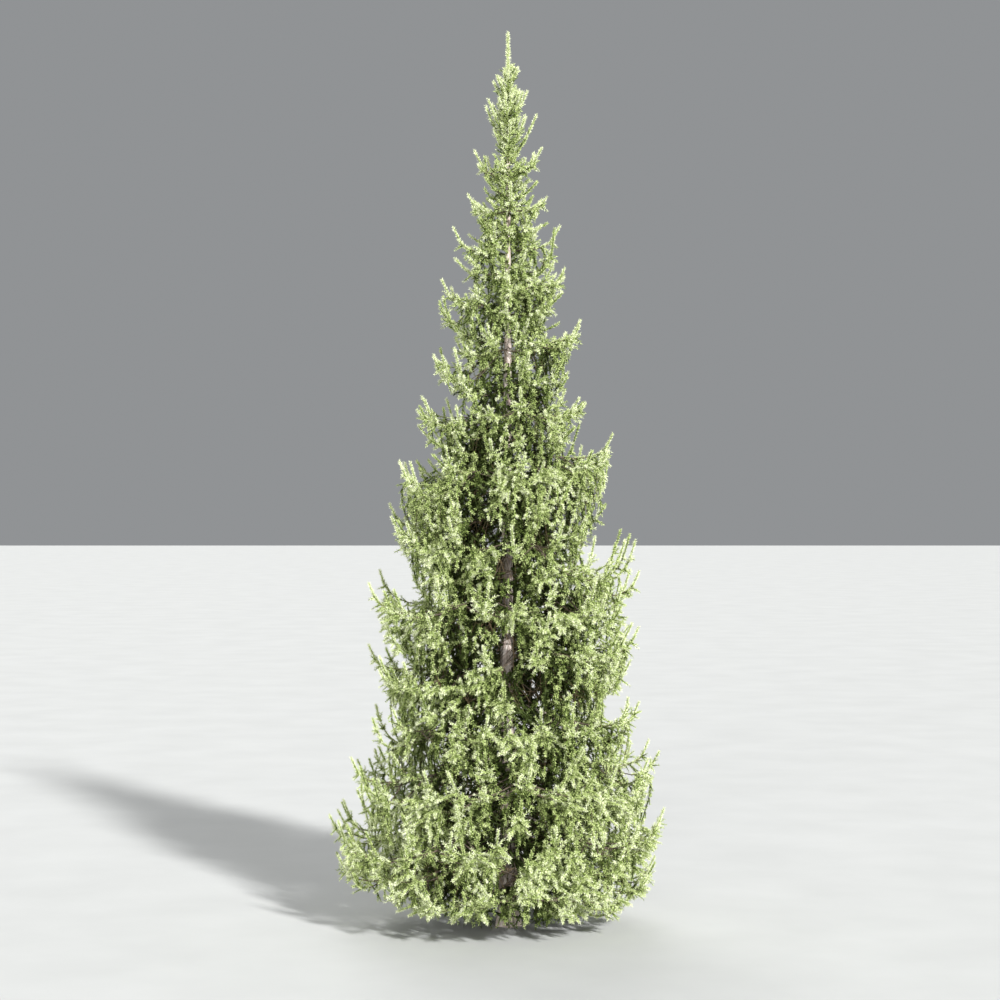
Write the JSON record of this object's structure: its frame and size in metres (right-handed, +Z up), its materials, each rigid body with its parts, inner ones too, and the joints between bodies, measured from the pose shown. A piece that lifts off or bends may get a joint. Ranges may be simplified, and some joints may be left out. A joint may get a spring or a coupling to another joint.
{
  "type": "spruce tree",
  "caption": "Tall slim cone-shaped spruce with a straight tapering trunk, tiers of boughs with upturned tips and hanging branchlets, and a needled leader.",
  "frame": {"origin": "middle of the flat cut of the trunk at ground level", "axes": "+Z up the trunk to the leader, +X to the tree's right as seen from its front, -Y towards its front"},
  "size_m": [4.4971, 4.5243, 12],
  "materials": {
    "bark": "rough scaly bark, greyish pink-brown",
    "foliage": "matte needles, pale yellow-green with paler tips"
  },
  "bodies": {
    "root": {"bough_1a": "bark", "bough_1b": "bark", "bough_1c": "bark", "bough_1d": "bark", "bough_2a": "bark", "bough_2b": "bark", "bough_2c": "bark", "bough_2d": "bark", "bough_3a": "bark", "bough_3b": "bark", "bough_3c": "bark", "bough_3d": "bark", "bough_4a": "bark", "bough_4b": "bark", "bough_4c": "bark", "foliage_10a": "foliage", "foliage_10b": "foliage", "foliage_10c": "foliage", "foliage_11a": "foliage", "foliage_11b": "foliage", "foliage_11c": "foliage", "foliage_12a": "foliage", "foliage_12b": "foliage", "foliage_13a": "foliage", "foliage_13b": "foliage", "foliage_14a": "foliage", "foliage_14b": "foliage", "foliage_1a": "foliage", "foliage_1b": "foliage", "foliage_1c": "foliage", "foliage_1d": "foliage", "foliage_2a": "foliage", "foliage_2b": "foliage", "foliage_2c": "foliage", "foliage_2d": "foliage", "foliage_3a": "foliage", "foliage_3b": "foliage", "foliage_3c": "foliage", "foliage_3d": "foliage", "foliage_4a": "foliage", "foliage_4b": "foliage", "foliage_4c": "foliage", "foliage_5a": "foliage", "foliage_5b": "foliage", "foliage_5c": "foliage", "foliage_6a": "foliage", "foliage_6b": "foliage", "foliage_6c": "foliage", "foliage_7a": "foliage", "foliage_7b": "foliage", "foliage_7c": "foliage", "foliage_8a": "foliage", "foliage_8b": "foliage", "foliage_8c": "foliage", "foliage_9a": "foliage", "foliage_9b": "foliage", "foliage_9c": "foliage", "foliage_leader": "foliage", "trunk": "bark"}
  },
  "joints": []
}
